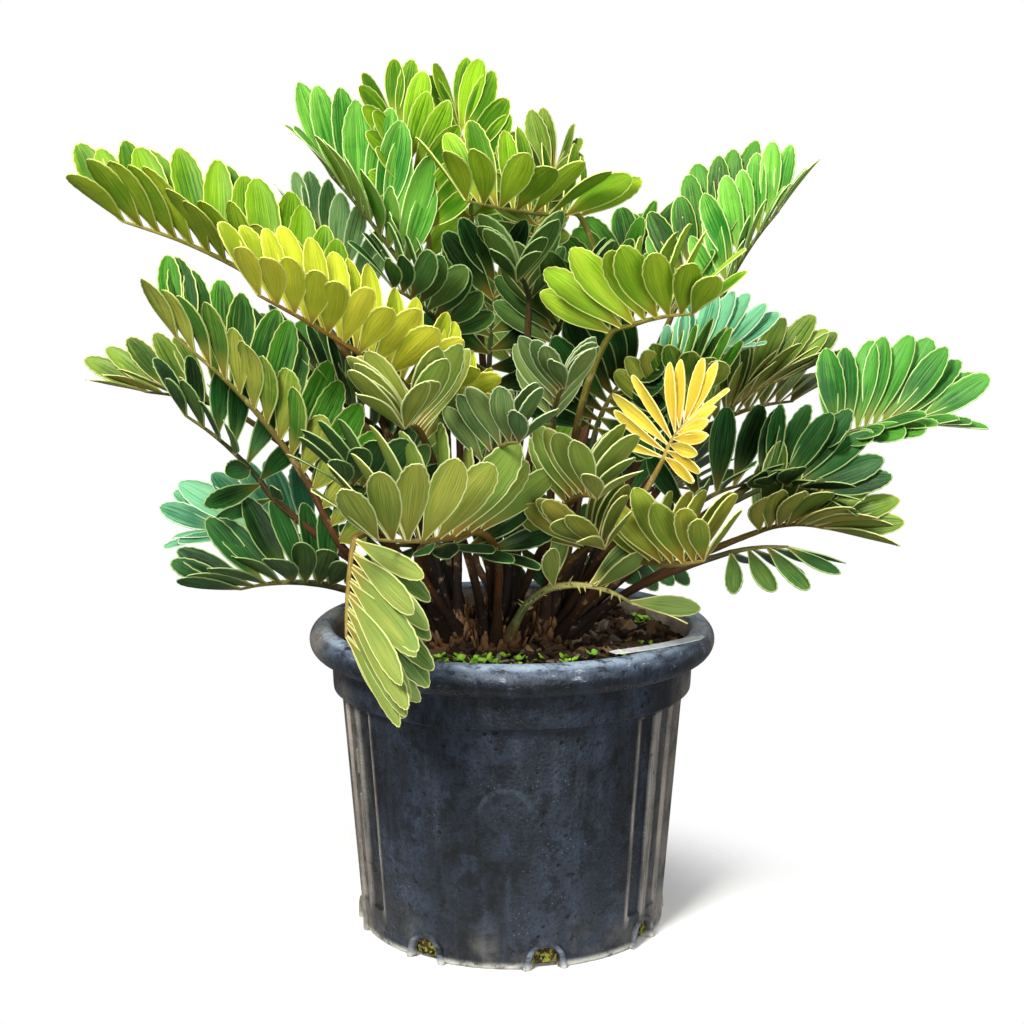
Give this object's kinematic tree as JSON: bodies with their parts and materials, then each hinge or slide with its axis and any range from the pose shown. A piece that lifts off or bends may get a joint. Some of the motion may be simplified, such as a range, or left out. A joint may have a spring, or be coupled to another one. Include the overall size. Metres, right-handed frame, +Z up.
{
  "type": "potted cardboard palm",
  "caption": "Bushy cycad with arching fronds of blunt leathery leaflets, growing from a clumped caudex in a tapered black nursery pot with a rolled rim.",
  "frame": {"origin": "centre of the pot's flat underside", "axes": "+Z up, -Y towards the front of the plant, +X to the right seen from the front"},
  "size_m": [0.8935, 0.7937, 0.8732],
  "materials": {
    "pot": "satin",
    "soil": "matte",
    "caudex": "matte",
    "tag": "satin",
    "stalk": "matte",
    "leaf_lime": "matte",
    "leaf_gold": "matte",
    "leaf_sage": "matte",
    "leaf_pale": "matte",
    "leaf_green": "matte",
    "leaf_olive": "matte",
    "leaf_teal": "matte",
    "leaf_dark": "matte",
    "leaf_fresh": "matte",
    "leaf_grey": "matte",
    "leaf_young": "matte"
  },
  "bodies": {
    "root": {"pot": "pot", "soil": "soil", "caudex": "caudex", "tag": "tag", "stalk_left_hanging": "stalk", "stalk_right_hanging": "stalk", "frond_left_high": "leaf_lime", "frond_left_gold": "leaf_gold", "frond_left_sage": "leaf_sage", "frond_front_left": "leaf_sage", "frond_left_hanging": "leaf_pale", "frond_left_mid": "leaf_green", "frond_left_under": "leaf_dark", "frond_left_far": "leaf_olive", "frond_left_teal": "leaf_teal", "frond_left_low": "leaf_dark", "frond_top_left": "leaf_fresh", "frond_top": "leaf_lime", "frond_top_mid": "leaf_lime", "frond_top_back": "leaf_olive", "frond_top_right": "leaf_lime", "frond_top_dark": "leaf_dark", "frond_right_lime": "leaf_lime", "frond_right_upright": "leaf_green", "frond_right_high": "leaf_fresh", "frond_right_teal": "leaf_teal", "frond_right_deep": "leaf_green", "frond_right_lean": "leaf_olive", "frond_right_far": "leaf_fresh", "frond_right_mid": "leaf_dark", "frond_right_low": "leaf_olive", "frond_right_hanging": "leaf_dark", "frond_front_right": "leaf_pale", "frond_front_mid": "leaf_sage", "frond_young": "leaf_young", "frond_mid_sage": "leaf_grey", "frond_mid_grey": "leaf_grey", "frond_broken": "leaf_pale", "frond_high_grey": "leaf_grey", "frond_inner_high": "leaf_dark", "frond_inner_left": "leaf_dark", "frond_inner_low": "leaf_dark", "frond_inner_right": "leaf_dark", "frond_inner_mid": "leaf_dark", "frond_inner_top": "leaf_dark", "frond_inner_side": "leaf_dark", "frond_inner_front": "leaf_olive", "frond_inner_core": "leaf_dark", "frond_inner_low_left": "leaf_dark", "frond_inner_low_back": "leaf_dark", "frond_inner_low_right": "leaf_dark", "frond_back_left_high": "leaf_lime", "frond_back_high": "leaf_fresh", "frond_back_right_high": "leaf_green", "frond_back_left": "leaf_green", "frond_back_right": "leaf_olive", "frond_back_mid": "leaf_sage", "frond_back_left_low": "leaf_sage", "frond_back_low": "leaf_lime", "frond_back_right_low": "leaf_dark"}
  },
  "joints": []
}
